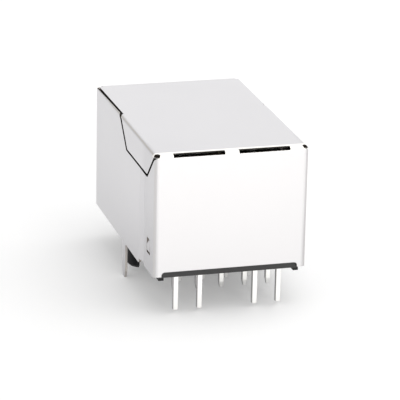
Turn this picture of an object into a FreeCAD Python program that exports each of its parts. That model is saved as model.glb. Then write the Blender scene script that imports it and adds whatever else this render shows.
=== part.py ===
import FreeCAD, Part
import math
import os
import re
import Sketcher

# Shielded single-port network jack with built-in transformers and two indicator lamps.
# Millimetres. X is the width, Y runs from the plug opening (-Y) to the rear wall (+Y), Z is up.
# The origin lies on the circuit board's surface, under the middle of the shield.

SIZES = {
    # Folded sheet shield
    "shield_width": 16.2,
    "shield_length": 25.4,
    "shield_height": 13.5,
    "sheet_gauge": 0.25,
    "bend_radius": 0.35,
    "seam_gap": 0.25,
    "top_seam_gap": 0.2,
    "top_seam_front": 0.13,
    "top_seam_rear": 0.29,
    "hidden_seam_inset": 0.2,
    "hidden_seam_drop": 0.3,
    "seam_lean": 0.45,
    "flap_front": 14.14,
    "flap_front_gap": 0.7,
    "flap_rear": 0.17,
    "flap_rear_gap": 0.45,
    "flap_drop": 2.84,
    "flange_top_reach": 3.05,
    "flange_foot_reach": 3.9,
    "flange_corner": 0.3,
    "rear_wall_base": 0.5,
    "rear_recess_top": 1.0,
    "rear_recess_margin": 0.88,
    "rear_step_radius": 0.35,
    "fold_slot_inner": 0.74,
    "fold_slot_outer": 6.12,
    "fold_slot_depth": 0.3,
    "fold_slot_reach": 0.5,
    "fold_slot_lip": 0.06,
    "fold_slot_undercut": 0.3,
    "corner_relief": 0.34,
    "corner_relief_inset": 0.28,
    "corner_relief_depth": 0.22,
    "wall_reach": 5.9,
    "wall_corner": 0.2,
    "joggle_run": 0.9,
    "lap_gap": 0.03,
    "lap_end": 0.9,
    "lap_base": 0.42,
    "lap_top_drop": 0.43,
    "catch_window_near": 1.43,
    "catch_window_width": 1.3,
    "catch_window_base": 2.42,
    "catch_window_height": 1.64,
    "catch_margin": 0.1,
    "catch_width": 1.1,
    "catch_rise": 0.75,
    "catch_slit": 0.25,
    "tab_reach": 12.3,
    "tab_width": 1.25,
    "tab_depth": 3.85,
    "tab_taper": 0.33,
    "tab_taper_length": 0.8,
    "tab_root_radius": 0.35,
    "port_rim": 0.1,
    "spring_width": 2.4,
    "spring_length": 5.6,
    "spring_bulge": 0.5,
    "spring_crest": 3.4,
    # Moulded front housing
    "housing_clearance": 0.08,
    "join": 0.1,
    "housing_depth": 13.4,
    "board_gap": 0.3,
    "cavity_width": 11.9,
    "cavity_floor": 3.3,
    "cavity_height": 6.75,
    "cavity_depth": 12.0,
    "ceiling": 0.5,
    "latch_width": 6.5,
    "latch_step": 1.35,
    "latch_neck_width": 3.6,
    "latch_neck_step": 1.1,
    "latch_stop": 1.6,
    "latch_depth": 9.5,
    "bay_width": 9.6,
    "rail_over_lead": 0.3,
    "spring_recess": 0.5,
    "spring_room": 0.4,
    "core_depth": 0.85,
    "core_floor": 1.85,
    "core_count": 3,
    "core_length": 3.2,
    "core_pitch": 4.1,
    "core_rib": 0.9,
    "foot_size": 1.3,
    "peg_spacing": 11.43,
    "peg_reach": 11.26,
    "peg_diameter": 3.2,
    "peg_shoulder": 4.0,
    "peg_depth": 3.25,
    "peg_split": 1.65,
    "peg_slot": 1.1,
    "peg_lead_in": 0.3,
    # Spring contacts and the insert that carries them
    "contact_count": 8,
    "contact_pitch": 1.016,
    "contact_width": 0.45,
    "contact_gauge": 0.3,
    "contact_bend": 0.75,
    "contact_bend_reach": 5.8,
    "contact_tip_reach": 11.7,
    "contact_tip_drop": 2.35,
    "contact_tail": 1.6,
    "contact_tip_room": 0.2,
    "slot_play": 0.06,
    # Indicator lamps and their leads
    "lamp_offset": 4.22,
    "lamp_axis_drop": 1.75,
    "lamp_width": 3.0,
    "lamp_height": 1.8,
    "lamp_length": 4.6,
    "lamp_edge": 0.25,
    "lamp_play": 0.06,
    "lamp_back_room": 0.1,
    "lead_pitch": 2.54,
    "lead_gauge": 0.5,
    "lead_bend": 0.7,
    "lead_reach": 0.9,
    "lead_depth": 3.45,
    # Terminal base, pins and the inner board
    "base_floor": 1.6,
    "base_clearance": 0.12,
    "cheek": 0.6,
    "base_foot_width": 0.55,
    "base_foot_length": 1.6,
    "rear_pin_count": 5,
    "pin_pitch": 2.54,
    "pin_gauge": 0.5,
    "pin_depth": 3.12,
    "pin_tip": 0.6,
    "pin_tip_angle": 9,
    "pin_row_reach": 5.25,
    "pin_row_pitch": 2.54,
    "pin_top": 0.35,
    "inner_board": 0.8,
    "board_hole": 0.8,
    # Coils on ring cores
    "coil_count": 4,
    "coil_pitch": 3.4,
    "coil_reach": 3.25,
    "coil_gap": 0.05,
    "wire_layer": 0.3,
    "wire_play": 0.02,
    "winding_sweep": 220,
    "transformer_outer": 1.33,
    "transformer_inner": 0.62,
    "transformer_width": 2.2,
    "choke_outer": 1.1,
    "choke_inner": 0.6,
    "choke_width": 1.7,
    # Chip parts on the inner board
    "resistor_count": 4,
    "resistor_length": 1.6,
    "resistor_width": 0.8,
    "resistor_height": 0.45,
    "resistor_pitch": 2.1,
    "capacitor_length": 4.6,
    "capacitor_width": 2.0,
    "capacitor_height": 1.5,
    "chip_reach": 3.1,
    "chip_edge": 0.08,
}

doc = FreeCAD.newDocument("network_jack")
dims = doc.addObject("Spreadsheet::Sheet", "dims")
for row, (alias, size) in enumerate(SIZES.items(), start=1):
    dims.set("A%d" % row, alias)
    dims.set("B%d" % row, str(size))
    dims.setAlias("B%d" % row, alias)
doc.recompute()

SUBPARTS = []
NORMAL_SIGN = {"XY": 1, "XZ": -1, "YZ": 1}
SAME_PLACE = 1e-4


def ref(expression):
    """Point every named size in an expression at its cell in the sheet."""
    def cell(match):
        word = match.group()
        return "dims." + word if word in SIZES else word
    return re.sub(r"[A-Za-z_]+", cell, expression)


def value(expression):
    return float(dims.evalExpression(ref(expression)))


def bind(target, prop, expression):
    target.setExpression(prop, ref(expression))


def sub_part(label, x="0", y="0", z="0"):
    """A separate physical piece: its own body, placed in the shared frame."""
    owner = doc.addObject("PartDesign::Body", label)
    owner.Label = label
    for axis, place in zip("xyz", (x, y, z)):
        bind(owner, "Placement.Base." + axis, place)
    SUBPARTS.append(owner)
    return owner


def sketch_on(owner, name, plane, level):
    """A sketch parallel to an origin plane, at a level along that plane's own axis."""
    sketch = owner.newObject("Sketcher::SketchObject", name)
    planes = {feature.Role: feature for feature in owner.Origin.OriginFeatures}
    sketch.AttachmentSupport = (planes[plane + "_Plane"], [""])
    sketch.MapMode = "FlatFace"
    bind(sketch, "AttachmentOffset.Base.z", "%d * (%s)" % (NORMAL_SIGN[plane], level))
    return sketch


def fix_point(sketch, geometry, vertex, place):
    """Hold a vertex at its two distances from the sketch's origin."""
    for kind, expression in zip(("DistanceX", "DistanceY"), place):
        held = Sketcher.Constraint(kind, -1, 1, geometry, vertex, value(expression))
        bind(sketch, "Constraints[%d]" % sketch.addConstraint(held), expression)


def draw_loop(sketch, corners):
    """A closed outline of straight edges through the given corners."""
    points = [FreeCAD.Vector(value(u), value(v), 0) for u, v in corners]
    ends = points[1:] + points[:1]
    lines = [sketch.addGeometry(Part.LineSegment(a, b)) for a, b in zip(points, ends)]
    for line, following in zip(lines, lines[1:] + lines[:1]):
        sketch.addConstraint(Sketcher.Constraint("Coincident", line, 2, following, 1))
    for line, corner in zip(lines, corners):
        fix_point(sketch, line, 1, corner)


def draw_circle(sketch, u, v, radius):
    centre = FreeCAD.Vector(value(u), value(v), 0)
    circle = sketch.addGeometry(Part.Circle(centre, FreeCAD.Vector(0, 0, 1), value(radius)))
    fix_point(sketch, circle, 3, (u, v))
    held = Sketcher.Constraint("Radius", circle, value(radius))
    bind(sketch, "Constraints[%d]" % sketch.addConstraint(held), radius)


def rectangle(low_u, high_u, low_v, high_v):
    return [(low_u, low_v), (high_u, low_v), (high_u, high_v), (low_u, high_v)]


def centred(u, v, width, height):
    return rectangle("%s - (%s) / 2" % (u, width), "%s + (%s) / 2" % (u, width),
                     "%s - (%s) / 2" % (v, height), "%s + (%s) / 2" % (v, height))


def profile(owner, name, plane, level, loops):
    sketch = sketch_on(owner, name + "_profile", plane, level)
    for loop in loops:
        if isinstance(loop, list):
            draw_loop(sketch, loop)
        else:
            draw_circle(sketch, *loop)
    return sketch


def add(owner, name, plane, low, high, *loops):
    """Extrude outlines between two levels along the axis that the plane faces."""
    level = low if NORMAL_SIGN[plane] > 0 else high
    pad = owner.newObject("PartDesign::Pad", name)
    pad.Profile = profile(owner, name, plane, level, loops)
    bind(pad, "Length", "(%s) - (%s)" % (high, low))
    return pad


def cut(owner, name, plane, low, high, *loops):
    """Remove outlines between two levels along the axis that the plane faces."""
    level = high if NORMAL_SIGN[plane] > 0 else low
    uncut = owner.Tip
    pocket = owner.newObject("PartDesign::Pocket", name)
    pocket.Profile = profile(owner, name, plane, level, loops)
    bind(pocket, "Length", "(%s) - (%s)" % (high, low))
    doc.recompute()
    if not pocket.Shape.Volume < uncut.Shape.Volume:
        raise RuntimeError("%s removes nothing" % name)
    return pocket


def mirror_sides(owner, name, *features):
    """Repeat one side's features on the other side of the middle plane."""
    planes = {feature.Role: feature for feature in owner.Origin.OriginFeatures}
    mirrored = owner.newObject("PartDesign::Mirrored", name)
    mirrored.Originals = list(features)
    mirrored.MirrorPlane = (planes["YZ_Plane"], [""])
    owner.Tip = mirrored
    doc.recompute()
    return mirrored


def repeat_across(owner, name, feature, count, pitch):
    """Repeat a feature along +X, count times, one pitch apart."""
    axes = {item.Role: item for item in owner.Origin.OriginFeatures}
    pattern = owner.newObject("PartDesign::LinearPattern", name)
    pattern.Originals = [feature]
    pattern.Direction = (axes["X_Axis"], [""])
    pattern.Mode = "Spacing"
    bind(pattern, "Offset", pitch)
    bind(pattern, "Occurrences", count)
    owner.Tip = pattern
    doc.recompute()
    return pattern


def dress(owner, kind, name, prop, size, chosen):
    """Round or chamfer the edges that the test picks on the piece as it stands."""
    doc.recompute()
    base = owner.Tip
    picked = ["Edge%d" % number for number, edge in enumerate(base.Shape.Edges, start=1) if chosen(edge)]
    feature = owner.newObject("PartDesign::" + kind, name)
    feature.Base = (base, picked)
    bind(feature, prop, size)
    doc.recompute()
    return feature


def near(measured, expression):
    return abs(measured - value(expression)) < SAME_PLACE


def sweep_hook(owner, name, start, centre, radius, end, turn, width, gauge):
    """A bar of oblong section that runs level, bends once about a centre and ends at a point.

    The path lies in the YZ plane; turn is +1 where the bend goes anticlockwise seen from +X.
    """
    path = sketch_on(owner, name + "_path", "YZ", "0")
    first, middle, last = [FreeCAD.Vector(value(u), value(v), 0) for u, v in (start, centre, end)]
    bend = value(radius)
    reach = last - middle
    leave = math.atan2(reach.y, reach.x) - turn * math.acos(bend / reach.Length)
    enter = math.pi / 2
    on_arc = [middle + FreeCAD.Vector(math.cos(a), math.sin(a), 0) * bend for a in (enter, leave)]
    circle = Part.Circle(middle, FreeCAD.Vector(0, 0, 1), bend)
    sweep = (enter, leave) if turn > 0 else (leave, enter)
    arc_start, arc_end = (1, 2) if turn > 0 else (2, 1)
    run = path.addGeometry(Part.LineSegment(first, on_arc[0]))
    arc = path.addGeometry(Part.ArcOfCircle(circle, *sweep))
    tail = path.addGeometry(Part.LineSegment(on_arc[1], last))
    path.addConstraint(Sketcher.Constraint("Tangent", run, 2, arc, arc_start))
    path.addConstraint(Sketcher.Constraint("Tangent", arc, arc_end, tail, 1))
    fix_point(path, run, 1, start)
    fix_point(path, arc, 3, centre)
    fix_point(path, tail, 2, end)
    held = Sketcher.Constraint("Radius", arc, bend)
    bind(path, "Constraints[%d]" % path.addConstraint(held), radius)
    section = profile(owner, name + "_section", "XZ", start[0], [centred("0", start[1], width, gauge)])
    pipe = owner.newObject("PartDesign::AdditivePipe", name)
    pipe.Profile = section
    pipe.Spine = (path, [])
    return pipe


def revolve(owner, name, loops, angle):
    """Turn outlines, drawn in the XY plane, about the Y axis."""
    sketch = profile(owner, name, "XY", "0", loops)
    turned = owner.newObject("PartDesign::Revolution", name)
    turned.Profile = sketch
    turned.ReferenceAxis = (sketch, ["V_Axis"])
    bind(turned, "Angle", angle)
    return turned


def minus(expression):
    return "-(%s)" % expression


def from_rear(distance):
    """Y at a distance in front of the shield's rear face."""
    return "(shield_length / 2 - (%s))" % distance


def from_front(distance):
    """Y at a distance behind the shield's front face."""
    return "(%s - shield_length / 2)" % distance


# Levels and faces that several pieces share
SIDE = "shield_width / 2"
SIDE_INSIDE = "(shield_width / 2 - sheet_gauge)"
LAP_OUTSIDE = "(shield_width / 2 - sheet_gauge - lap_gap)"
LAP_INSIDE = "(shield_width / 2 - 2 * sheet_gauge - lap_gap)"
REAR = from_rear("0")
FRONT = from_front("0")
TOP = "shield_height"
TOP_INSIDE = "(shield_height - sheet_gauge)"
HOUSING_SIDE = "(shield_width / 2 - sheet_gauge - housing_clearance)"
HOUSING_FRONT = from_front("(sheet_gauge + housing_clearance)")
HOUSING_REAR = from_front("(sheet_gauge + housing_clearance + housing_depth)")
CAVITY_TOP = "(cavity_floor + cavity_height)"
DECK = "(cavity_floor + cavity_height + ceiling)"
LAMP_LEVEL = "(shield_height - lamp_axis_drop)"
LAMP_FLOOR = "(shield_height - lamp_axis_drop - lamp_height / 2 - lamp_play)"
LAMP_BACK = from_front("(lamp_length + lamp_back_room)")
RAIL_TOP = "(shield_height - lamp_axis_drop + lead_gauge / 2 + rail_over_lead)"
LEAD_FLOOR = "(shield_height - lamp_axis_drop - lead_gauge / 2 - slot_play / 2)"
LEAD_NEAR = "(lamp_offset - lead_pitch / 2)"
LEAD_FAR = "(lamp_offset + lead_pitch / 2)"
BASE_SIDE = "(shield_width / 2 - 2 * sheet_gauge - lap_gap - base_clearance)"
BASE_TOP = "(board_gap + base_floor)"
BASE_REAR = from_rear("(sheet_gauge + housing_clearance)")
BASE_FRONT = "(%s + housing_clearance)" % HOUSING_REAR
LEAD_Y = from_rear("lead_reach")
REAR_PINS_Y = from_rear("pin_row_reach")
FRONT_PINS_Y = from_rear("(pin_row_reach + pin_row_pitch)")
BEYOND = "1"


def outward(expression):
    """A level safely past an outer face, for cuts that run out of the piece."""
    return "%s + %s" % (expression, BEYOND)


def before(expression):
    """A level safely short of a face, for cuts that start outside the piece."""
    return "%s - %s" % (expression, BEYOND)


def into(expression):
    """A level just past a face, so that two features of one piece run into each other."""
    return "%s + join" % expression


# Shield: one blank, folded down at the front, the sides, the top flaps and last the rear wall
shield = sub_part("shield")
add(shield, "blank", "XY", "0", TOP, rectangle(minus(SIDE), SIDE, FRONT, REAR))
bends = dress(shield, "Fillet", "bends", "Radius", "bend_radius",
              lambda edge: edge.BoundBox.ZMax > value(TOP) / 2)
walls = shield.newObject("PartDesign::Thickness", "walls")
walls.Base = (bends, ["Face%d" % number for number, face in enumerate(bends.Shape.Faces, start=1)
                      if near(face.BoundBox.ZMax, "0")])
walls.Reversed = True
bind(walls, "Value", "sheet_gauge")
doc.recompute()

# Front face: plug opening with its latch step, and two lamp windows
port_half = "(cavity_width / 2 + port_rim)"
latch_half = "(latch_width / 2 + port_rim)"
neck_half = "(latch_neck_width / 2 + port_rim)"
port_top = "(%s + port_rim)" % CAVITY_TOP
port_floor = "(cavity_floor - port_rim)"
latch_floor = "(cavity_floor - latch_step - port_rim)"
neck_floor = "(cavity_floor - latch_step - latch_neck_step - port_rim)"
port_outline = [(port_half, port_top), (minus(port_half), port_top), (minus(port_half), port_floor),
                (minus(latch_half), port_floor), (minus(latch_half), latch_floor),
                (minus(neck_half), latch_floor), (minus(neck_half), neck_floor), (neck_half, neck_floor),
                (neck_half, latch_floor), (latch_half, latch_floor), (latch_half, port_floor),
                (port_half, port_floor)]
lamp_windows = [centred(place, LAMP_LEVEL, "lamp_width + 2 * port_rim", "lamp_height + 2 * port_rim")
                for place in ("lamp_offset", "-lamp_offset")]
cut(shield, "front_openings", "XZ", before(FRONT), FRONT + " + 2 * sheet_gauge", port_outline, *lamp_windows)

# Rear wall: lower edge held off the board at the corners and stepped up between them
recess_half = "(shield_width / 2 - rear_recess_margin)"
cut(shield, "rear_lower_edge", "XZ", REAR + " - 2 * sheet_gauge", outward(REAR),
    [(minus(outward(SIDE)), before("0")), (outward(SIDE), before("0")), (outward(SIDE), "rear_wall_base"),
     (recess_half, "rear_wall_base"), (recess_half, "rear_recess_top"),
     (minus(recess_half), "rear_recess_top"), (minus(recess_half), "rear_wall_base"),
     (minus(outward(SIDE)), "rear_wall_base")])
dress(shield, "Fillet", "rear_step_corners", "Radius", "rear_step_radius",
      lambda edge: near(edge.BoundBox.XLength, "0") and near(edge.BoundBox.YMax, REAR)
      and near(abs(edge.BoundBox.XMax), recess_half) and near(edge.BoundBox.ZMin, "rear_recess_top"))

# One side of the shield, repeated on the other: seams, laps, catch, ground tab and plug spring
flap_foot = "(shield_height - flap_drop)"
seam_foot = "(shield_height - flap_drop - seam_gap)"
outer_band = (SIDE + " - 2 * sheet_gauge", outward(SIDE))
side_seam = cut(shield, "flap_seam", "YZ", *outer_band, [
    (from_rear("flap_front - sheet_gauge"), TOP_INSIDE),
    (from_rear("flap_front - flap_drop"), flap_foot),
    (from_rear("flap_rear + flap_drop"), flap_foot),
    (from_rear("flap_rear + sheet_gauge"), TOP_INSIDE),
    (from_rear("flap_rear + sheet_gauge - flap_rear_gap"), TOP_INSIDE),
    (from_rear("flap_rear + flap_drop + seam_gap - flap_rear_gap"), seam_foot),
    (from_rear("flap_front - flap_drop - seam_gap + flap_front_gap"), seam_foot),
    (from_rear("flap_front - sheet_gauge + flap_front_gap"), TOP_INSIDE)])
seam_corner = cut(shield, "seam_corner", "YZ", SIDE + " - top_seam_rear - top_seam_gap / 2", outward(SIDE), [
    (from_rear("flap_front - 2 * sheet_gauge"), TOP_INSIDE + " - sheet_gauge"),
    (from_rear("flap_front - 2 * sheet_gauge + flap_front_gap"), TOP_INSIDE + " - sheet_gauge"),
    (from_rear("flap_front + seam_lean + flap_front_gap"), TOP),
    (from_rear("flap_front + seam_lean + flap_front_gap"), outward(TOP)),
    (from_rear("flap_front + seam_lean"), outward(TOP)),
    (from_rear("flap_front + seam_lean"), TOP)])
top_seam = cut(shield, "top_seam", "XY", TOP_INSIDE + " - seam_gap", outward(TOP), [
    (SIDE + " - top_seam_front - top_seam_gap / 2", FRONT + " + sheet_gauge"),
    (SIDE + " - top_seam_front + top_seam_gap / 2", FRONT + " + sheet_gauge"),
    (SIDE + " - top_seam_rear + top_seam_gap / 2", from_rear("flap_front + seam_lean")),
    (SIDE + " - top_seam_rear - top_seam_gap / 2", from_rear("flap_front + seam_lean"))])
flange_edge = cut(shield, "flange_edge", "YZ", *outer_band, [
    (from_rear("wall_reach + wall_corner"), before("0")),
    (from_rear("wall_reach + wall_corner"), "0"),
    (from_rear("wall_reach"), "wall_corner"),
    (from_rear("wall_reach"), seam_foot),
    (from_rear("flange_top_reach"), seam_foot),
    (from_rear("flange_foot_reach"), "rear_wall_base + flange_corner"),
    (from_rear("flange_foot_reach - flange_corner"), "rear_wall_base"),
    (outward(REAR), "rear_wall_base"),
    (outward(REAR), before("0"))])
fold_slot = cut(shield, "fold_slot", "YZ", "fold_slot_inner", "fold_slot_outer", [
    (from_rear("fold_slot_reach"), outward(TOP)), (from_rear("fold_slot_reach"), TOP + " - fold_slot_lip"),
    (from_rear("fold_slot_reach + fold_slot_undercut"), TOP + " - fold_slot_depth"),
    (outward(REAR), TOP + " - fold_slot_depth"), (outward(REAR), outward(TOP))])
relief_x = SIDE + " - corner_relief_inset"
corner_reliefs = cut(shield, "corner_reliefs", "XY", TOP + " - corner_relief_depth", outward(TOP),
                     (relief_x, from_rear("corner_relief_inset"), "corner_relief"),
                     (relief_x, from_front("corner_relief_inset"), "corner_relief"))
lap_start = from_rear("wall_reach + sheet_gauge / 4")
lap_level = from_rear("wall_reach - joggle_run")
side_lap = add(shield, "side_lap", "XY", "lap_base", seam_foot, [
    (SIDE_INSIDE, lap_start), (SIDE, lap_start), (SIDE, from_rear("wall_reach")),
    (LAP_OUTSIDE, lap_level), (LAP_OUTSIDE, from_rear("lap_end")), (LAP_INSIDE, from_rear("lap_end")),
    (LAP_INSIDE, lap_level), (SIDE_INSIDE, from_rear("wall_reach"))])
lap_clear = from_rear("flange_top_reach + sheet_gauge / 4")
lap_top = cut(shield, "lap_top", "YZ", before(LAP_INSIDE), outward(SIDE), [
    (from_rear("wall_reach"), seam_foot), (lap_level, seam_foot + " - lap_top_drop"),
    (lap_clear, seam_foot + " - lap_top_drop"), (lap_clear, seam_foot + " + seam_gap / 2"),
    (from_rear("wall_reach"), seam_foot + " + seam_gap / 2")])
window_top = "catch_window_base + catch_window_height"
catch_window = cut(shield, "catch_window", "YZ", before(LAP_INSIDE), outward(SIDE), rectangle(
    from_rear("catch_window_near + catch_window_width"), from_rear("catch_window_near"),
    "catch_window_base", window_top))
catch_foot = "catch_window_base + catch_slit"
catch_crest = window_top + " - catch_rise"
side_catch = add(shield, "side_catch", "XZ",
                 from_rear("catch_window_near + catch_margin + catch_width"),
                 from_rear("catch_window_near + catch_margin"),
                 [(LAP_INSIDE, into(window_top)), (LAP_OUTSIDE, into(window_top)), (LAP_OUTSIDE, window_top),
                  (SIDE, catch_crest), (SIDE, catch_foot), (SIDE_INSIDE, catch_foot),
                  (SIDE_INSIDE, catch_crest), (LAP_INSIDE, window_top)])
tab_front = from_rear("(tab_reach + tab_width / 2)")
tab_rear = from_rear("(tab_reach - tab_width / 2)")
tab_foot = "(tab_taper_length - tab_depth)"
ground_tab = add(shield, "ground_tab", "YZ", SIDE_INSIDE, SIDE, [
    (tab_front, "bend_radius"), (tab_front, tab_foot), (tab_front + " + tab_taper", "-tab_depth"),
    (tab_rear + " - tab_taper", "-tab_depth"), (tab_rear, tab_foot), (tab_rear, "bend_radius")])
spring_middle = from_front("spring_crest")
spring_end = from_front("spring_length")
spring_level = "(cavity_floor + cavity_height / 2)"
spring_face = "(cavity_width / 2 - spring_bulge)"
plug_spring = add(shield, "plug_spring", "XY", spring_level + " - spring_width / 2",
                  spring_level + " + spring_width / 2",
                  [(port_half + " + 2 * sheet_gauge", FRONT), (port_half + " - bend_radius", FRONT),
                   (port_half + " - bend_radius - sheet_gauge / 2", FRONT + " + bend_radius"),
                   (spring_face, spring_middle), ("cavity_width / 2 - sheet_gauge", spring_end),
                   ("cavity_width / 2", spring_end), (spring_face + " + sheet_gauge", spring_middle),
                   (port_half + " - bend_radius + sheet_gauge / 2", FRONT + " + sheet_gauge"),
                   (port_half + " + 2 * sheet_gauge", FRONT + " + sheet_gauge")])
mirror_sides(shield, "other_side", side_seam, seam_corner, flange_edge, fold_slot, corner_reliefs,
             side_lap, lap_top, catch_window, side_catch, ground_tab, plug_spring)
hidden_edge = "(hidden_seam_inset - shield_width / 2)"
cut(shield, "hidden_seam", "XZ", FRONT + " + sheet_gauge", from_rear("flap_front + seam_lean"),
    rectangle(minus(outward(SIDE)), hidden_edge, TOP + " - hidden_seam_drop", outward(TOP)))
dress(shield, "Fillet", "tab_roots", "Radius", "tab_root_radius",
      lambda edge: near(edge.BoundBox.YLength, "0") and near(edge.BoundBox.ZLength, "0")
      and near(edge.BoundBox.ZMax, "0")
      and (near(edge.BoundBox.YMax, tab_front) or near(edge.BoundBox.YMax, tab_rear)))

# Housing: plug cavity, lamp bays, a bay for the contact insert, two split pegs and two front feet
housing = sub_part("housing")
add(housing, "block", "XZ", HOUSING_FRONT, HOUSING_REAR,
    rectangle(minus(HOUSING_SIDE), HOUSING_SIDE, "board_gap", RAIL_TOP))
add(housing, "brow", "XZ", HOUSING_FRONT, LAMP_BACK,
    rectangle(minus(HOUSING_SIDE), HOUSING_SIDE, RAIL_TOP + " - ceiling",
              TOP_INSIDE + " - housing_clearance"))
cut(housing, "insert_bay", "XZ", LAMP_BACK, outward(HOUSING_REAR),
    rectangle("-bay_width / 2", "bay_width / 2", DECK, outward(RAIL_TOP)))
lamp_bays = [rectangle("%s - lamp_width / 2 - lamp_play" % place, "%s + lamp_width / 2 + lamp_play" % place,
                       LAMP_FLOOR, outward(TOP)) for place in ("lamp_offset", "-lamp_offset")]
cut(housing, "lamp_bays", "XZ", before(HOUSING_FRONT), LAMP_BACK, *lamp_bays)


def lead_groove(place):
    """The outline of an open groove for one lamp lead."""
    half = "(lead_gauge / 2 + slot_play)"
    return rectangle("%s - %s" % (place, half), "%s + %s" % (place, half), LEAD_FLOOR, outward(TOP))


cut(housing, "lead_grooves", "XZ", LAMP_BACK + " - lamp_back_room", outward(HOUSING_REAR),
    lead_groove(LEAD_FAR), lead_groove(minus(LEAD_FAR)))
cut(housing, "plug_cavity", "XZ", before(HOUSING_FRONT), HOUSING_FRONT + " + cavity_depth",
    rectangle("-cavity_width / 2", "cavity_width / 2", "cavity_floor", CAVITY_TOP))
latch_low = "(cavity_floor - latch_step)"
neck_low = "(cavity_floor - latch_step - latch_neck_step)"
cut(housing, "latch_pocket", "XZ", HOUSING_FRONT + " + latch_stop", HOUSING_FRONT + " + latch_depth",
    rectangle("-latch_width / 2", "latch_width / 2", neck_low, into("cavity_floor")))
cut(housing, "latch_mouth", "XZ", before(HOUSING_FRONT), into(HOUSING_FRONT + " + latch_stop"),
    [("-latch_width / 2", into("cavity_floor")), ("-latch_width / 2", latch_low),
     ("-latch_neck_width / 2", latch_low), ("-latch_neck_width / 2", neck_low),
     ("latch_neck_width / 2", neck_low), ("latch_neck_width / 2", latch_low),
     ("latch_width / 2", latch_low), ("latch_width / 2", into("cavity_floor"))])
first_contact = "(-contact_pitch * (contact_count - 1) / 2)"
slot_front = from_front("(contact_bend_reach - contact_bend - contact_gauge)")
slot_rear = from_front("(contact_tip_reach + contact_tip_room)")
contact_slot = cut(housing, "contact_slot", "XY", before(CAVITY_TOP), into(DECK),
                   rectangle(first_contact + " - contact_width / 2 - slot_play",
                             first_contact + " + contact_width / 2 + slot_play", slot_front, slot_rear))
repeat_across(housing, "contact_slots", contact_slot, "contact_count", "contact_pitch")
spring_pocket = cut(housing, "spring_pocket", "XY", spring_level + " - spring_width / 2 - port_rim",
                    spring_level + " + spring_width / 2 + port_rim",
                    rectangle("cavity_width / 2 - join", "cavity_width / 2 + spring_recess",
                              before(HOUSING_FRONT), spring_end + " + spring_room"))
core_high = "(%s - core_rib)" % CAVITY_TOP
cores = [rectangle(HOUSING_FRONT + " + core_rib + %d * core_pitch" % place,
                   HOUSING_FRONT + " + core_rib + core_length + %d * core_pitch" % place,
                   "core_floor", core_high)
         for place in range(SIZES["core_count"])]
side_cores = cut(housing, "side_cores", "YZ", HOUSING_SIDE + " - core_depth", outward(HOUSING_SIDE), *cores)
front_foot = add(housing, "front_foot", "XY", "0", into("board_gap"),
                 rectangle(HOUSING_SIDE + " - foot_size", HOUSING_SIDE,
                           HOUSING_FRONT, HOUSING_FRONT + " + foot_size"))
peg_x = "peg_spacing / 2"
peg_y = from_front("peg_reach")
peg = add(housing, "peg", "XY", "-peg_depth", into("board_gap"), (peg_x, peg_y, "peg_diameter / 2"))
shoulder = add(housing, "shoulder", "XY", "0", into("board_gap"), (peg_x, peg_y, "peg_shoulder / 2"))
doc.recompute()
mirror_sides(housing, "both_sides", spring_pocket, side_cores, front_foot, peg, shoulder)
dress(housing, "Chamfer", "peg_lead_ins", "Size", "peg_lead_in",
      lambda edge: near(edge.BoundBox.ZMax, "-peg_depth") and near(edge.BoundBox.ZLength, "0"))
peg_slots = [centred(place, peg_y, "peg_slot", "2 * peg_diameter") for place in (peg_x, minus(peg_x))]
cut(housing, "peg_slots", "XY", before("-peg_depth"), "peg_split - peg_depth", *peg_slots)

# Contact insert: a comb that closes the bay and clamps the contacts on the housing's deck
insert = sub_part("contact_insert")
insert_half = "(bay_width / 2 - slot_play)"
add(insert, "comb", "XZ", LAMP_BACK + " + slot_play", HOUSING_REAR,
    rectangle(minus(insert_half), insert_half, DECK, RAIL_TOP))
cut(insert, "lead_grooves", "XZ", LAMP_BACK, outward(HOUSING_REAR),
    lead_groove(LEAD_NEAR), lead_groove(minus(LEAD_NEAR)))
contact_groove = cut(insert, "contact_groove", "XZ", LAMP_BACK, outward(HOUSING_REAR),
                     rectangle(first_contact + " - contact_width / 2 - slot_play",
                               first_contact + " + contact_width / 2 + slot_play",
                               before(DECK), DECK + " + contact_gauge + slot_play"))
repeat_across(insert, "contact_grooves", contact_groove, "contact_count", "contact_pitch")

# Spring contacts: soldered tail, level run under the insert, hook at the front, free end in the cavity
run_level = "(%s + contact_gauge / 2)" % DECK
for number in range(SIZES["contact_count"]):
    contact = sub_part("contact_%d" % (number + 1), x="%s + %d * contact_pitch" % (first_contact, number))
    sweep_hook(contact, "formed_strip_%d" % (number + 1),
               start=(HOUSING_REAR + " + contact_tail", run_level),
               centre=(from_front("contact_bend_reach"), run_level + " - contact_bend"),
               radius="contact_bend",
               end=(from_front("contact_tip_reach"), CAVITY_TOP + " - contact_tip_drop"),
               turn=1, width="contact_width", gauge="contact_gauge")

# Lamps: moulded bodies in the front bays, each on two square leads that run back and turn down
for side, place in (("left", "-lamp_offset"), ("right", "lamp_offset")):
    lamp = sub_part("lamp_" + side, x=place)
    add(lamp, "lens_" + side, "XZ", FRONT + " + slot_play", FRONT + " + lamp_length",
        centred("0", LAMP_LEVEL, "lamp_width", "lamp_height"))
    dress(lamp, "Fillet", "lens_edges_" + side, "Radius", "lamp_edge",
          lambda edge: near(edge.BoundBox.YMax, FRONT + " + slot_play"))
for number, place in enumerate((minus(LEAD_FAR), minus(LEAD_NEAR), LEAD_NEAR, LEAD_FAR), start=1):
    lead = sub_part("lamp_lead_%d" % number, x=place)
    sweep_hook(lead, "bent_wire_%d" % number,
               start=(FRONT + " + lamp_length", LAMP_LEVEL),
               centre=(LEAD_Y + " - lead_bend", LAMP_LEVEL + " - lead_bend"),
               radius="lead_bend", end=(LEAD_Y, "-lead_depth"),
               turn=-1, width="lead_gauge", gauge="lead_gauge")


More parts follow.
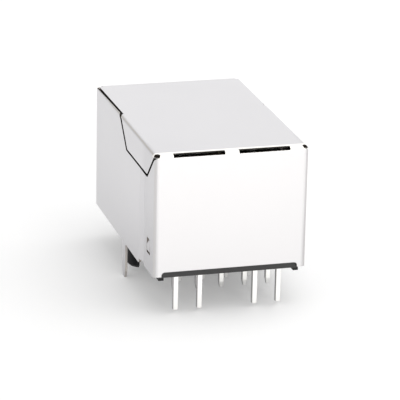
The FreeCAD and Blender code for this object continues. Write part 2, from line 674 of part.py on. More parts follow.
def pin_places():
    """X and Y of every signal pin: the rear row, then the front row behind the gaps between them."""
    for number in range(SIZES["rear_pin_count"]):
        yield "(%d - rear_pin_count / 2 + 0.25) * pin_pitch" % number, REAR_PINS_Y
    for number in range(SIZES["rear_pin_count"] - 1):
        yield "(%d - rear_pin_count / 2 + 0.75) * pin_pitch" % number, FRONT_PINS_Y


# Terminal base: floor with a hole for every pin, two cheeks that carry the inner board, rear feet
base = sub_part("terminal_base")
add(base, "floor", "XY", "board_gap", BASE_TOP,
    rectangle(minus(BASE_SIDE), BASE_SIDE, BASE_FRONT, BASE_REAR))
board_under = "(%s - inner_board)" % DECK
cheek_side = add(base, "cheek_side", "XY", BASE_TOP + " - join", board_under,
                 rectangle(BASE_SIDE + " - cheek", BASE_SIDE, BASE_FRONT, BASE_REAR))
rear_foot = add(base, "rear_foot", "XZ", BASE_REAR + " - base_foot_length", BASE_REAR,
                rectangle(BASE_SIDE + " - base_foot_width", BASE_SIDE, "0", into("board_gap")))
mirror_sides(base, "both_cheeks", cheek_side, rear_foot)
pin_hole = "pin_gauge + 2 * slot_play"
pin_holes = [centred(x, y, pin_hole, pin_hole) for x, y in pin_places()]
lead_holes = [centred(x, LEAD_Y, "lead_gauge + 2 * slot_play", "lead_gauge + 2 * slot_play")
              for x in (minus(LEAD_FAR), minus(LEAD_NEAR), LEAD_NEAR, LEAD_FAR)]
cut(base, "pin_holes", "XY", before("board_gap"), outward(BASE_TOP), *pin_holes, *lead_holes)

# Signal pins: square wire with a tapered tip, up through the base and the inner board
for number, (x, y) in enumerate(pin_places(), start=1):
    pin = sub_part("signal_pin_%d" % number, x=x, y=y)
    section = centred("0", "0", "pin_gauge", "pin_gauge")
    add(pin, "wire_%d" % number, "XY", "pin_tip - pin_depth", DECK + " + pin_top", section)
    tip = pin.newObject("PartDesign::Pad", "tip_%d" % number)
    tip.Profile = profile(pin, "tip_%d" % number, "XY", "pin_tip - pin_depth", [section])
    tip.Reversed = True
    bind(tip, "Length", "pin_tip")
    bind(tip, "TaperAngle", "-pin_tip_angle")

# Inner board: rests on the cheeks, drilled for the signal pins
board = sub_part("inner_board")
board_front = BASE_FRONT + " + housing_clearance"
board_rear = LEAD_Y + " - lead_gauge"
add(board, "laminate", "XY", board_under, DECK,
    rectangle(minus(BASE_SIDE), BASE_SIDE, board_front, board_rear))
cut(board, "drilled_holes", "XY", before(board_under), outward(DECK),
    *[(x, y, "board_hole / 2") for x, y in pin_places()])


def ring_coil(name, number, x, z, outer, inner, width):
    """A ring core lying across the jack and the wire layer wound round most of it."""
    place = {"x": x, "y": from_rear("coil_reach"), "z": z}
    core = sub_part("%s_core_%d" % (name, number), **place)
    half = "%s / 2" % width
    revolve(core, "%s_ring_%d" % (name, number), [rectangle(inner, outer, minus(half), half)], "360")
    winding = sub_part("%s_winding_%d" % (name, number), **place)
    skin = half + " + wire_play"
    wound = half + " + wire_layer"
    revolve(winding, "%s_layer_%d" % (name, number),
            [rectangle(inner + " - wire_layer", outer + " + wire_layer", minus(wound), wound),
             rectangle(inner + " - wire_play", outer + " + wire_play", minus(skin), skin)], "winding_sweep")


# Coils: a row of transformers on the base's floor with a row of chokes on top of it
transformer_level = "(%s + coil_gap + transformer_outer + wire_layer)" % BASE_TOP
choke_level = "(%s + transformer_outer + choke_outer + 2 * wire_layer + coil_gap)" % transformer_level
for number in range(SIZES["coil_count"]):
    across = "(%d - (coil_count - 1) / 2) * coil_pitch" % number
    ring_coil("transformer", number + 1, across, transformer_level,
              "transformer_outer", "transformer_inner", "transformer_width")
    ring_coil("choke", number + 1, across, choke_level, "choke_outer", "choke_inner", "choke_width")

# Chip parts soldered on the inner board: four end resistors and the high-voltage capacitor
chip_y = from_rear("chip_reach")


def chip(label, x, y, length, width, height):
    piece = sub_part(label, x=x, y=y)
    add(piece, label + "_block", "XY", DECK, "%s + %s" % (DECK, height), centred("0", "0", length, width))
    dress(piece, "Chamfer", label + "_edges", "Size", "chip_edge",
          lambda edge: near(edge.BoundBox.ZMin, "%s + %s" % (DECK, height)))


for number in range(SIZES["resistor_count"]):
    chip("resistor_%d" % (number + 1), "(%d - (resistor_count - 1) / 2) * resistor_pitch" % number,
         from_rear("(pin_row_reach + pin_row_pitch / 2)"),
         "resistor_length", "resistor_width", "resistor_height")
chip("capacitor", "0", chip_y, "capacitor_length", "capacitor_width", "capacitor_height")

doc.recompute()
for item in doc.Objects:
    if "Invalid" in item.State or "Error" in item.State:
        raise RuntimeError("%s failed: %s" % (item.Label, item.State))
for piece in SUBPARTS:
    if piece.Shape.isNull() or not piece.Shape.isValid():
        raise RuntimeError("%s has no valid shape" % piece.Label)

os.makedirs("parts", exist_ok=True)
for piece in SUBPARTS:
    piece.Shape.exportStep("parts/%s.step" % piece.Label)
    print(piece.Label, len(piece.Shape.Solids), round(piece.Shape.Volume, 3))
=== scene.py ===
import math

import bpy
from mathutils import Matrix, Vector


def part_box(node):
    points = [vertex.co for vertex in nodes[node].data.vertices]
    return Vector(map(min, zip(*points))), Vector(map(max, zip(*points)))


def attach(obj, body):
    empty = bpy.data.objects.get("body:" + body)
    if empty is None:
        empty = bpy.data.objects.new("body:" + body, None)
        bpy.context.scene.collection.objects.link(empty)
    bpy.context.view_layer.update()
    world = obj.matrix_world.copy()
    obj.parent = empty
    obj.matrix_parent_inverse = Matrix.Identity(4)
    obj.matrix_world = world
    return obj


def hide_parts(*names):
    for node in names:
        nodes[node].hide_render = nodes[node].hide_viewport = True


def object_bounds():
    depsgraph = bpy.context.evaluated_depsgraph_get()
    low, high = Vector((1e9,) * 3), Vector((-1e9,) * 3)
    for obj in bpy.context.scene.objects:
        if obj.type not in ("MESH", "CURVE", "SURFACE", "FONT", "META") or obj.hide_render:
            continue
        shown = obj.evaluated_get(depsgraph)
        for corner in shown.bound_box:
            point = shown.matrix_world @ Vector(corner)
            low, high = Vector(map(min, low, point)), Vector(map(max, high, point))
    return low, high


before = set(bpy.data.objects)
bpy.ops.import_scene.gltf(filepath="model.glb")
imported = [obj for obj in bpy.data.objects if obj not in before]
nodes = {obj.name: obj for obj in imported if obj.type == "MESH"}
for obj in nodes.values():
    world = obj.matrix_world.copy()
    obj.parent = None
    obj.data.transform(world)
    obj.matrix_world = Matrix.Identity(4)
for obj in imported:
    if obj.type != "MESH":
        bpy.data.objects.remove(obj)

cad_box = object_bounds()

# Housing, contact insert and terminal base: glass-filled nylon, injection moulded in black with a fine
# eroded texture from the tool. The housing holds the plug cavity, the lamp bays and two board pegs, and the
# insert closes over the contacts. The base behind them carries the pins, and is glossier above its feet.
MM_PER_METRE = 1000


class Flow:
    """An output socket of a node tree. Arithmetic on it adds Math nodes to that tree."""

    def __init__(self, tree, socket=None):
        self.tree = tree
        self.socket = socket

    def node(self, kind, settings=None, output=None, **inputs):
        """Add a node: settings first, then a value or a link for each input, named by its identifier."""
        made = self.tree.nodes.new(kind)
        for name, setting in (settings or {}).items():
            setattr(made, name, setting)
        sockets = {socket.identifier.replace(" ", "_"): socket for socket in made.inputs}
        for name, given in inputs.items():
            if isinstance(given, Flow):
                self.tree.links.new(given.socket, sockets[name])
            else:
                sockets[name].default_value = given
        outlets = {socket.identifier: socket for socket in made.outputs if socket.enabled}
        return Flow(self.tree, outlets[output] if output else next(iter(outlets.values())))

    def math(self, operation, left, right):
        return self.node("ShaderNodeMath", {"operation": operation}, Value=left, Value_001=right)

    def __add__(self, other):
        return self.math("ADD", self, other)

    __radd__ = __add__

    def __sub__(self, other):
        return self.math("SUBTRACT", self, other)

    def __rsub__(self, other):
        return self.math("SUBTRACT", other, self)

    def __mul__(self, other):
        return self.math("MULTIPLY", self, other)

    __rmul__ = __mul__

    def __truediv__(self, other):
        return self.math("DIVIDE", self, other)

    def __rtruediv__(self, other):
        return self.math("DIVIDE", other, self)

    def __abs__(self):
        return self.math("ABSOLUTE", self, 0.0)

    def larger(self, other):
        return self.math("MAXIMUM", self, other)

    def ramp(self, low, high, start=0.0, end=1.0):
        """Go smoothly from start to end while this value goes from low to high."""
        return self.node("ShaderNodeMapRange", {"interpolation_type": "SMOOTHSTEP"}, Value=self,
                         From_Min=low, From_Max=high, To_Min=start, To_Max=end)

    def above(self, limit, blend):
        """Rise from 0 at the limit to 1 one blend above it."""
        return self.ramp(limit, limit + blend)

    def below(self, limit, blend):
        """Fall from 1 one blend below the limit to 0 at the limit."""
        return self.ramp(limit - blend, limit, start=1.0, end=0.0)

    def tint(self, first, second):
        """Mix two colours by this value."""
        return self.node("ShaderNodeMix", {"data_type": "RGBA"}, Factor_Float=self,
                         A_Color=first, B_Color=second)

    def vector(self, operation, other=(0.0, 0.0, 0.0), output="Vector"):
        return self.node("ShaderNodeVectorMath", {"operation": operation}, output,
                         Vector=self, Vector_001=other)

    def axes(self):
        """The three parts of this vector."""
        parts = self.node("ShaderNodeSeparateXYZ", Vector=self).socket.node.outputs
        return [Flow(self.tree, part) for part in parts]


class Finish:
    """A material with one Principled shader, and the coordinates of the piece that wears it."""

    def __init__(self, name):
        self.material = bpy.data.materials.new(name)
        self.material.use_nodes = True
        self.tree = self.material.node_tree
        self.shader = self.tree.nodes["Principled BSDF"]
        self.place = Flow(self.tree).node("ShaderNodeTexCoord", output="Object")
        self.x, self.y, self.z = self.place.axes()

    def facing(self):
        """The way that the surface itself faces, before any bump."""
        return self.place.node("ShaderNodeNewGeometry", output="True Normal")

    def set(self, **inputs):
        for name, given in inputs.items():
            target = self.shader.inputs[name.replace("_", " ")]
            if isinstance(given, Flow):
                self.tree.links.new(given.socket, target)
            else:
                target.default_value = given

    def speckle(self, spots_per_mm, detail=2.0, stretch=(1.0, 1.0, 1.0)):
        """Soft noise from 0 to 1 with a set number of spots to the millimetre."""
        vector = self.place.node("ShaderNodeMapping", Vector=self.place, Scale=stretch)
        return self.place.node("ShaderNodeTexNoise", output="Fac", Vector=vector,
                               Scale=MM_PER_METRE * spots_per_mm, Detail=detail)

    def rounded(self, radius, samples):
        """The normal of the surface with its edges rounded off."""
        return self.place.node("ShaderNodeBevel", {"samples": samples}, Radius=radius)

    def relief(self, height, depth, under=None):
        """A bumped normal; depth is the height in metres of a full step."""
        links = {"Normal": under} if under else {}
        return self.place.node("ShaderNodeBump", Height=height, Distance=depth, Strength=1.0, **links)

    def wear(self, *names):
        for name in names:
            nodes[name].material_slots[0].material = self.material


BLACK_LOW = (0.006, 0.006, 0.007, 1)
BLACK_HIGH = (0.018, 0.018, 0.019, 1)
BLACK_SHINE = 0.2
BLACK_ROUGHNESS = 0.42
SPARK_ROUGHNESS = 0.12
FLOW_ROUGHNESS = 0.06
SPARK_DEPTH = 0.00001
FOOT_TO_RIM = (0.00024, 0.0003)
RIM_GLOSS = 0.7
RIM_ROUGHNESS = 0.45


def moulding(name):
    """Black plastic with flow marks and a spark-eroded grain."""
    moulded = Finish(name)
    flow_marks = moulded.speckle(spots_per_mm=0.35, detail=3.0)
    spark = moulded.speckle(spots_per_mm=9.0, detail=2.0)
    moulded.set(Base_Color=flow_marks.tint(BLACK_LOW, BLACK_HIGH), Specular_IOR_Level=BLACK_SHINE,
                Roughness=BLACK_ROUGHNESS + SPARK_ROUGHNESS * spark + FLOW_ROUGHNESS * flow_marks,
                Normal=moulded.relief(spark, SPARK_DEPTH))
    return moulded


moulding("housing_black").wear("housing", "contact_insert")
base_black = moulding("base_black")
base_black.set(Coat_Weight=RIM_GLOSS * base_black.z.ramp(*FOOT_TO_RIM), Coat_Roughness=RIM_ROUGHNESS)
base_black.wear("terminal_base")

# Spring contacts: eight strips of phosphor bronze, formed to a hook and gold plated over nickel.
# They lie in slots of the insert, and their free ends press on the plug.
GOLD = (0.90, 0.66, 0.28, 1)
GOLD_DULL = (0.78, 0.56, 0.25, 1)
GOLD_ROUGHNESS = 0.18
WIPE_ROUGHNESS = 0.14


def numbered(name, count):
    """The names of a row of like pieces."""
    return ["%s_%d" % (name, number) for number in range(1, count + 1)]


gilded = Finish("gold_plate")
wipe = gilded.speckle(spots_per_mm=1.5, detail=3.0, stretch=(3.0, 0.3, 0.3))
gilded.set(Base_Color=wipe.tint(GOLD, GOLD_DULL), Metallic=1.0,
           Roughness=GOLD_ROUGHNESS + WIPE_ROUGHNESS * wipe)
gilded.wear(*numbered("contact", 8))

# Indicator lamps: two moulded bodies of cloudy epoxy, green on one side of the port and yellow on the
# other, pushed into the housing's front bays from above.
LENS_GREEN = (0.34, 0.62, 0.26, 1)
LENS_GREEN_DEEP = (0.22, 0.50, 0.16, 1)
LENS_YELLOW = (0.85, 0.66, 0.18, 1)
LENS_YELLOW_DEEP = (0.74, 0.52, 0.10, 1)
LENS_ROUGHNESS = 0.22
HAZE_ROUGHNESS = 0.12
SCATTER_DEPTH = 0.0008


def lens(name, pale, deep):
    """Tinted epoxy that scatters light inside."""
    epoxy = Finish(name)
    haze = epoxy.speckle(spots_per_mm=0.8, detail=2.0)
    epoxy.set(Base_Color=haze.tint(pale, deep), Roughness=LENS_ROUGHNESS + HAZE_ROUGHNESS * haze,
              Subsurface_Weight=0.5, Subsurface_Radius=(SCATTER_DEPTH, SCATTER_DEPTH, SCATTER_DEPTH),
              Subsurface_Scale=1.0)
    return epoxy


lens("lens_green", LENS_GREEN, LENS_GREEN_DEEP).wear("lamp_left")
lens("lens_yellow", LENS_YELLOW, LENS_YELLOW_DEEP).wear("lamp_right")

# Lamp leads and signal pins: square copper-alloy wire blanked from strip and dipped in tin. The tin is
# bright where it ran, the faces that point sideways carry painted shade, and the tin rounds the edges.
TIN = (0.97, 0.97, 0.96, 1)
TIN_DULL = (0.86, 0.85, 0.84, 1)
SIDE_SHADE = (0.56, 0.55, 0.55, 1)
SIDE_SHADE_DULL = (0.40, 0.39, 0.40, 1)
TIN_ROUGHNESS = 0.26
DIP_ROUGHNESS = 0.16
SIDE_SHADE_ROUGHNESS = 0.1
DIP_DEPTH = 0.00003
WIRE_EDGE = 0.00012
FACING_SIDEWAYS = (0.6, 0.8)
LEADS = numbered("lamp_lead", 4)
PINS = numbered("signal_pin", 9)

tinned = Finish("tinned_wire")
dip = tinned.speckle(spots_per_mm=1.2, detail=3.0, stretch=(1.0, 1.0, 0.35))
# Painted shade: the faces that point sideways get a darker, greyer tin.
painted_side_shade = abs(tinned.facing().axes()[0]).ramp(*FACING_SIDEWAYS)
tinned.set(Base_Color=painted_side_shade.tint(dip.tint(TIN, TIN_DULL), dip.tint(SIDE_SHADE, SIDE_SHADE_DULL)), Metallic=1.0,
           Roughness=TIN_ROUGHNESS + DIP_ROUGHNESS * dip + SIDE_SHADE_ROUGHNESS * painted_side_shade,
           Normal=tinned.relief(dip, DIP_DEPTH, tinned.rounded(WIRE_EDGE, samples=8)))
tinned.wear(*LEADS, *PINS)

# Coils: ring cores of dark sintered ferrite, four transformers with four chokes above them, each wound
# by hand with two strands of enamelled copper wire that lie side by side round the ring.
FERRITE = (0.030, 0.028, 0.027, 1)
FERRITE_WORN = (0.075, 0.072, 0.070, 1)
FERRITE_ROUGHNESS = 0.45
PORE_ROUGHNESS = 0.2
PORE_DEPTH = 0.00001
ENAMEL_RED = (0.52, 0.13, 0.05, 1)
ENAMEL_GREEN = (0.09, 0.26, 0.08, 1)
ENAMEL_ROUGHNESS = 0.2
RUB_ROUGHNESS = 0.15
WIRE_GAUGE = 0.00018
WIRE_PLAY = 0.00002
WOUND_ANGLE = math.radians(220)
STRANDS = 2
COILS_OF_A_KIND = 4
# The radius of the bore, the radius of the rim, the width and the number of turns.
COIL_SIZES = {"transformer": (0.00062, 0.00133, 0.0022, 10), "choke": (0.0006, 0.0011, 0.0017, 10)}

sintered = Finish("ferrite")
pores = sintered.speckle(spots_per_mm=6.0, detail=3.0)
sintered.set(Base_Color=pores.tint(FERRITE, FERRITE_WORN),
             Roughness=FERRITE_ROUGHNESS + PORE_ROUGHNESS * pores,
             Normal=sintered.relief(pores, PORE_DEPTH))

enamelled = Finish("enamelled_wire")
strand = enamelled.place.node("ShaderNodeAttribute", {"attribute_name": "strand"}, "Fac")
rub = enamelled.speckle(spots_per_mm=3.0, detail=2.0)
enamelled.set(Base_Color=strand.tint(ENAMEL_RED, ENAMEL_GREEN), Metallic=0.35,
              Roughness=ENAMEL_ROUGHNESS + RUB_ROUGHNESS * rub, Coat_Weight=0.5)


class Recipe:
    """A Geometry Nodes tree with named sizes, run once on a bare mesh to give a plain mesh."""

    def __init__(self, name, **sizes):
        self.tree = bpy.data.node_groups.new(name, "GeometryNodeTree")
        self.start = Flow(self.tree)
        self.identifiers = {}
        self.tree.interface.new_socket("Geometry", in_out="OUTPUT", socket_type="NodeSocketGeometry")
        self.tree.interface.new_socket("Geometry", in_out="INPUT", socket_type="NodeSocketGeometry")
        for size, kind in sizes.items():
            made = self.tree.interface.new_socket(size, in_out="INPUT", socket_type="NodeSocket" + kind)
            self.identifiers[size] = made.identifier
        self.inlets = self.tree.nodes.new("NodeGroupInput").outputs
        self.bare = Flow(self.tree, self.inlets[0])

    def size(self, name):
        return Flow(self.tree, self.inlets[name])

    def close(self, shape, material):
        """End the tree with a plain mesh that wears the material."""
        smooth = shape.node("GeometryNodeSetShadeSmooth", Geometry=shape)
        whole = smooth.node("GeometryNodeRealizeInstances", Geometry=smooth)
        worn = whole.node("GeometryNodeSetMaterial", Geometry=whole, Material=material)
        outlet = self.tree.nodes.new("NodeGroupOutput")
        self.tree.links.new(worn.socket, outlet.inputs[0])

    def make(self, name, points, **sizes):
        """Run the recipe on a mesh of loose points and keep what it makes as a piece."""
        seed = bpy.data.meshes.new(name)
        seed.from_pydata(points, [], [])
        piece = bpy.data.objects.new(name, seed)
        bpy.context.scene.collection.objects.link(piece)
        run = piece.modifiers.new("recipe", "NODES")
        run.node_group = self.tree
        for size, given in sizes.items():
            run[self.identifiers[size]] = given
        ready = piece.evaluated_get(bpy.context.evaluated_depsgraph_get())
        made = bpy.data.meshes.new_from_object(ready)
        piece.modifiers.clear()
        piece.data = made
        made.name = name
        return piece


winding = Recipe("wire_turns", bore="Float", rim="Float", width="Float", gauge="Float", turns="Int",
                 sweep="Float")
gauge = winding.size("gauge")
loop = winding.start.node("GeometryNodeCurvePrimitiveQuadrilateral",
                          Width=winding.size("rim") - winding.size("bore") + gauge,
                          Height=winding.size("width") + gauge)
bent = loop.node("GeometryNodeFilletCurve", {"mode": "POLY"}, Curve=loop, Count=3, Radius=gauge)
section = loop.node("GeometryNodeCurvePrimitiveCircle", Resolution=6, Radius=gauge / 2)
turn = loop.node("GeometryNodeCurveToMesh", Curve=bent, Profile_Curve=section)
number = loop.node("GeometryNodeInputIndex")
half_wire = gauge / (winding.size("bore") - gauge / 2) / 2
angle = half_wire + number * ((winding.size("sweep") - 2 * half_wire) / (winding.size("turns") - 1))
middle = (winding.size("bore") + winding.size("rim")) / 2
spot = loop.node("ShaderNodeCombineXYZ", X=middle * angle.math("COSINE", angle, 0.0),
                 Z=0.0 - middle * angle.math("SINE", angle, 0.0))
spots = loop.node("GeometryNodePoints", Count=winding.size("turns"), Position=spot)
spin = loop.node("FunctionNodeAxisAngleToRotation", Axis=(0.0, 1.0, 0.0), Angle=angle)
row = loop.node("GeometryNodeInstanceOnPoints", Points=spots, Instance=turn, Rotation=spin)
marked = loop.node("GeometryNodeStoreNamedAttribute", {"data_type": "FLOAT", "domain": "INSTANCE"},
                   Geometry=row, Name="strand", Value=number.math("MODULO", number, STRANDS))
winding.close(marked, enamelled.material)

for kind, (bore, rim, width, turns) in COIL_SIZES.items():
    for place in range(1, COILS_OF_A_KIND + 1):
        core = "%s_core_%d" % (kind, place)
        sintered.wear(core)
        coil = winding.make("%s_turns_%d" % (kind, place), [], bore=bore - WIRE_PLAY, rim=rim + WIRE_PLAY,
                            width=width + 2 * WIRE_PLAY, gauge=WIRE_GAUGE, turns=turns, sweep=WOUND_ANGLE)
        low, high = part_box(core)
        coil.data.transform(Matrix.Translation((low + high) / 2))
        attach(coil, "root")
        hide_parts("%s_winding_%d" % (kind, place))

# Inner board: glass-cloth laminate with a green mask on both faces and raw sawn edges. It rests on the
# base's cheeks, and the signal pins and contact tails are soldered to it.
MASK_GREEN = (0.012, 0.085, 0.040, 1)
MASK_PALE = (0.025, 0.135, 0.060, 1)
RAW_LAMINATE = (0.07, 0.062, 0.035, 1)
MASK_ROUGHNESS = 0.3
CLOTH_ROUGHNESS = 0.1
SAWN_ROUGHNESS = 0.3
CLOTH_DEPTH = 0.000006
FACING_UP_OR_DOWN = (0.5, 0.7)
FILLET_FOOT = 0.00062
FILLET_TOP = 0.00036
FILLET_HEIGHT = 0.0003
FILLET_SAG = 0.28

laminate = Finish("board_laminate")
cloth = laminate.place.node("ShaderNodeTexWave", {"wave_type": "BANDS", "bands_direction": "DIAGONAL"}, "Fac",
                            Vector=laminate.place, Scale=900.0, Distortion=1.5)
sawn = abs(laminate.facing().axes()[2]).ramp(*FACING_UP_OR_DOWN, start=1.0, end=0.0)
laminate.set(Base_Color=sawn.tint(cloth.tint(MASK_GREEN, MASK_PALE), RAW_LAMINATE),
             Roughness=MASK_ROUGHNESS + CLOTH_ROUGHNESS * cloth + SAWN_ROUGHNESS * sawn,
             Normal=laminate.relief(cloth, CLOTH_DEPTH))
laminate.wear("inner_board")

fillet = Recipe("solder_fillets", foot="Float", top="Float", height="Float", sag="Float")
cone = fillet.start.node("GeometryNodeMeshCone", Vertices=20, Side_Segments=4, Radius_Top=fillet.size("top"),
                         Radius_Bottom=fillet.size("foot"), Depth=fillet.size("height"))
across, along, up = cone.node("GeometryNodeInputPosition").axes()
climb = up / fillet.size("height")
# Four times climb times the rest of it is 0 at the foot and at the top, and 1 halfway.
pull = 0.0 - fillet.size("sag") * 4 * climb * (1 - climb)
drawn_in = cone.node("ShaderNodeCombineXYZ", X=across * pull, Y=along * pull, Z=0.0)
hollow = cone.node("GeometryNodeSetPosition", Geometry=cone, Offset=drawn_in)
fillet.close(cone.node("GeometryNodeInstanceOnPoints", Points=fillet.bare, Instance=hollow), tinned.material)

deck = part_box("inner_board")[1].z
pin_feet = [((low.x + high.x) / 2, (low.y + high.y) / 2, deck) for low, high in map(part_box, PINS)]
solder = fillet.make("solder_fillets", pin_feet, foot=FILLET_FOOT, top=FILLET_TOP, height=FILLET_HEIGHT,
                     sag=FILLET_SAG)
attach(solder, "root")

# Chip parts: four thick-film resistors with a dark glazed face, and one tan ceramic capacitor, each
# with fired metal caps on both ends, soldered flat on the inner board.
CAP_METAL = (0.66, 0.65, 0.63, 1)
CAP_BLEND = 0.00004
GLAZE_ROUGHNESS = 0.3
MOTTLE_ROUGHNESS = 0.2
RESISTOR_GLAZE = (0.018, 0.018, 0.020, 1)
RESISTOR_MOTTLE = (0.05, 0.05, 0.055, 1)
RESISTOR_CAP = 0.0003
CAPACITOR_GLAZE = (0.50, 0.36, 0.22, 1)
CAPACITOR_MOTTLE = (0.40, 0.28, 0.17, 1)
CAPACITOR_CAP = 0.0006


def chip(name, pale, deep, cap):
    """A glazed ceramic block with metal on its ends for the length of one cap."""
    glaze = Finish(name + "_glaze")
    low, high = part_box(name)
    reach = abs(glaze.x - (low.x + high.x) / 2)
    metal = reach.above((high.x - low.x) / 2 - cap, CAP_BLEND)
    mottle = glaze.speckle(spots_per_mm=4.0, detail=3.0)
    glaze.set(Base_Color=metal.tint(mottle.tint(pale, deep), CAP_METAL), Metallic=metal,
              Roughness=GLAZE_ROUGHNESS + MOTTLE_ROUGHNESS * mottle)
    glaze.wear(name)


for resistor in numbered("resistor", 4):
    chip(resistor, RESISTOR_GLAZE, RESISTOR_MOTTLE, RESISTOR_CAP)
chip("capacitor", CAPACITOR_GLAZE, CAPACITOR_MOTTLE, CAPACITOR_CAP)

# Shield: one blank of thin steel strip, nickel plated before it is punched, then bent round the front,
# the sides, the top flaps and last the rear wall, which hooks over a catch on each side. The plate is satin,
# with painted shade low on the side walls and on the flanges, a painted warm reflection along the bends and a
# painted highlight on the rear top edge. Its sheared edges show bare steel, with painted shade on them high
# up in the seams, slots, laps and reliefs.
BEND = 0.00035
SKIN_BLEND = (0.00001, 0.00004)
LAP_DEPTH = 0.0006
LAP_BLEND = 0.00002
RELIEF = 0.00066
RELIEF_DIP = 0.00002
RELIEF_BLEND = 0.00004
FACING_ALONG = (0.65, 0.9)
TAB_HEIGHTS = (-0.0004, 0.0)
TAB_WEAR = 0.6
SEAM_HEIGHTS = (0.0092, 0.0098)
SEAM_START = 0.0007
SEAM_BLEND = 0.0002
CREASE_TURN = (0.40, 0.495)
CREASE_REFLECTION = 0.65
FOLD_REFLECTION = 0.4
HIGHLIGHT_REACH = 0.00105
HIGHLIGHT_BLEND = 0.00012
FLANGE_REACH = 0.0055
FLANGE_BLEND = 0.002
FLANGE_HEIGHTS = (0.001, 0.010)
FLANGE_TOP_SHADE = 0.4
WALL_HEIGHTS = (0.0, 0.009)
WALL_FOOT_SHADE = 0.45
PLATE = (0.675, 0.667, 0.68, 1)
PLATE_SHADED = (0.57, 0.563, 0.575, 1)
PLATE_WARM_REFLECTION = (0.62, 0.585, 0.53, 1)
PLATE_HIGHLIGHT = (0.99, 0.97, 0.93, 1)
BARE_STEEL = (0.42, 0.38, 0.34, 1)
SEAM_SHADE = (0.040, 0.033, 0.028, 1)
PLATE_ROUGHNESS = 0.36
CLOUD_ROUGHNESS = 0.06
GRAIN_ROUGHNESS = 0.03
SHEARED_ROUGHNESS = 0.2
GRAIN_DEPTH = 0.000002
SHEET_EDGE = 0.00006
FAR_BELOW = -1.0

plated = Finish("plated_sheet")
shield_low, shield_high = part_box("shield")
front = shield_low.y
half, rear, top = shield_high
sideways = abs(plated.x)

# The skin is what lies outside a core that is one bend smaller on every folded side.
core_low = (BEND - half, front + BEND, FAR_BELOW)
core_high = (half - BEND, rear - BEND, top - BEND)
nearest = plated.place.vector("MAXIMUM", core_low).vector("MINIMUM", core_high)
from_core = plated.place.vector("SUBTRACT", nearest)
outward = from_core.vector("LENGTH", output="Value")
away = from_core.vector("NORMALIZE")
on_skin = outward.ramp(*SKIN_BLEND)

# Sheared edges face along the skin, and in the laps they face any way but sideways.
facing = plated.facing()
along_skin = abs(facing.vector("DOT_PRODUCT", away, "Value")).ramp(*FACING_ALONG, start=1.0, end=0.0)
not_sideways = abs(facing.axes()[0]).ramp(*FACING_ALONG, start=1.0, end=0.0)
in_lap = (sideways.above(half - LAP_DEPTH, LAP_BLEND) * plated.z.below(top - LAP_DEPTH, LAP_BLEND)
          * plated.y.below(rear - LAP_DEPTH, LAP_BLEND) * plated.y.above(front + LAP_DEPTH, LAP_BLEND))
in_relief = (outward.below(BEND - RELIEF_DIP, RELIEF_BLEND) * on_skin
             * sideways.above(half - RELIEF, RELIEF_BLEND) * plated.y.above(rear - RELIEF, RELIEF_BLEND)
             * plated.z.above(top - BEND, RELIEF_BLEND))
cut_edge = (on_skin * along_skin).larger(in_lap * not_sideways)
sheared = (cut_edge * plated.z.ramp(*TAB_HEIGHTS, start=TAB_WEAR, end=1.0)).larger(in_relief)
# Painted shade: sheared edges high on the shield, in the seams, slots, laps and reliefs, are near black.
seam_shade_zone = plated.z.ramp(*SEAM_HEIGHTS) * plated.y.above(front + SEAM_START, SEAM_BLEND)

# The plate has a painted warm reflection along the bends, a painted highlight along the rear top edge by the
# last fold, and painted shade on the flanks, darker towards the bottom and on the flanges.
fold = plated.y.ramp(rear - BEND, rear) * sideways.ramp(half - BEND, half)
away_across, _, away_up = away.axes()
crease = (abs(away_across) * away_up).ramp(*CREASE_TURN)
# Painted highlight: a near-white band along the rear top edge of the top.
painted_edge_highlight = (plated.y.above(rear - HIGHLIGHT_REACH, HIGHLIGHT_BLEND)
             * plated.z.above(top - BEND, HIGHLIGHT_BLEND))
flank = sideways.ramp(half - LAP_DEPTH, half - BEND)
# Painted shade: the side walls darken towards the bottom, and more on the rear flanges.
flange_shade = (plated.y.above(rear - FLANGE_REACH, FLANGE_BLEND)
             * plated.z.ramp(*FLANGE_HEIGHTS, start=1.0, end=FLANGE_TOP_SHADE))
low_wall_shade = plated.z.ramp(*WALL_HEIGHTS, start=WALL_FOOT_SHADE, end=0.0)
painted_flank_shade = flank * flange_shade.larger(low_wall_shade)

clouds = plated.speckle(spots_per_mm=0.12, detail=3.0)
grain = plated.speckle(spots_per_mm=0.5, detail=3.0, stretch=(12.0, 0.6, 0.6))
flank_shaded_plate = painted_flank_shade.tint(PLATE, PLATE_SHADED)
# Painted reflection: the bends and creases get a warm beige colour.
with_bend_reflection = (FOLD_REFLECTION * fold + CREASE_REFLECTION * crease).tint(flank_shaded_plate, PLATE_WARM_REFLECTION)
plate = painted_edge_highlight.tint(with_bend_reflection, PLATE_HIGHLIGHT)
plated.set(Base_Color=sheared.tint(plate, seam_shade_zone.tint(BARE_STEEL, SEAM_SHADE)), Metallic=1.0,
           Roughness=(PLATE_ROUGHNESS + CLOUD_ROUGHNESS * clouds + GRAIN_ROUGHNESS * grain
                      + SHEARED_ROUGHNESS * sheared),
           Normal=plated.relief(grain, GRAIN_DEPTH, plated.rounded(SHEET_EDGE, samples=4)))
plated.wear("shield")

# Floor, lights and camera: a pale table that glows a little, a small warm softbox low on the camera's side,
# two large softboxes and a white sky, seen from the photograph's place.
FLOOR_REACH = 3.0
PAPER = (0.74, 0.74, 0.74, 1)
PAPER_PALE = (0.76, 0.76, 0.76, 1)
WHITE = (1.0, 1.0, 1.0, 1)
TABLE_GLOW = 0.26
SKY_STRENGTH = 0.75

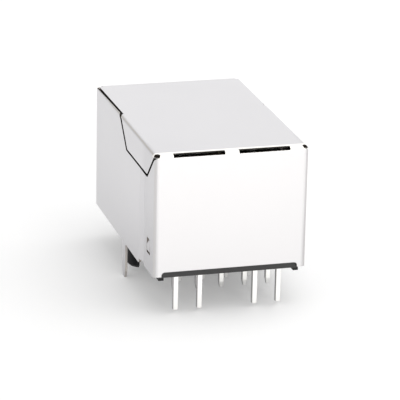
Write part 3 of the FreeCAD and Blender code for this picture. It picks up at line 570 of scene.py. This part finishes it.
ground = cad_box[0][2]
floor_mesh = bpy.data.meshes.new("floor")
floor_mesh.from_pydata([(-FLOOR_REACH, -FLOOR_REACH, ground), (FLOOR_REACH, -FLOOR_REACH, ground),
                        (FLOOR_REACH, FLOOR_REACH, ground), (-FLOOR_REACH, FLOOR_REACH, ground)],
                       [], [(0, 1, 2, 3)])
floor = bpy.data.objects.new("floor", floor_mesh)
bpy.context.scene.collection.objects.link(floor)
paper = Finish("pale_paper")
fibre = paper.speckle(spots_per_mm=0.02, detail=2.0)
paper.set(Base_Color=fibre.tint(PAPER, PAPER_PALE), Roughness=0.9, Emission_Color=WHITE,
          Emission_Strength=TABLE_GLOW)
floor_mesh.materials.append(paper.material)

AIM = Vector((0.00014, 0.00157, 0.00454))
CAMERA_AZIMUTH = math.radians(15.94)
CAMERA_ELEVATION = math.radians(19.08)
CAMERA_ROLL = math.radians(1.214)
CAMERA_DISTANCE = 0.2647
SENSOR_WIDTH = 36.0
FOCAL_LENGTH = 225.0
NEAREST_SEEN = 0.01

back = Vector((math.sin(CAMERA_AZIMUTH) * math.cos(CAMERA_ELEVATION),
               math.cos(CAMERA_AZIMUTH) * math.cos(CAMERA_ELEVATION), math.sin(CAMERA_ELEVATION)))
level = Vector((0, 0, 1)).cross(back).normalized()
upright = back.cross(level)
turned = Matrix((level, upright, back)).transposed() @ Matrix.Rotation(CAMERA_ROLL, 3, "Z")
photo_view = bpy.data.cameras.new("photo_view")
photo_view.sensor_width = SENSOR_WIDTH
photo_view.lens = FOCAL_LENGTH
photo_view.clip_start = NEAREST_SEEN
camera = bpy.data.objects.new("photo_view", photo_view)
camera.matrix_world = Matrix.Translation(AIM + CAMERA_DISTANCE * back) @ turned.to_4x4()
bpy.context.scene.collection.objects.link(camera)
bpy.context.scene.camera = camera


def softbox(name, place, width, height, power, colour=(1.0, 1.0, 1.0)):
    """A rectangular soft light aimed at the jack."""
    light = bpy.data.lights.new(name, "AREA")
    light.color = colour
    light.shape = "RECTANGLE"
    light.size = width
    light.size_y = height
    light.energy = power
    lamp = bpy.data.objects.new(name, light)
    lamp.location = place
    lamp.rotation_euler = (AIM - Vector(place)).to_track_quat("-Z", "Y").to_euler()
    bpy.context.scene.collection.objects.link(lamp)


softbox("front_softbox", (-0.19, 0.9, 0.12), width=0.2, height=0.24, power=2.8, colour=(1.0, 0.98, 0.92))
softbox("top_softbox", (-0.65, 0.1, 1.25), width=1.8, height=1.8, power=8.5)
softbox("back_softbox", (-0.41, -0.9, 0.34), width=1.2, height=0.5, power=1.12)
world = bpy.data.worlds.new("studio")
bpy.context.scene.world = world
world.use_nodes = True
sky = world.node_tree.nodes["Background"]
sky.inputs["Color"].default_value = WHITE
sky.inputs["Strength"].default_value = SKY_STRENGTH
bpy.context.scene.view_settings.view_transform = "Standard"
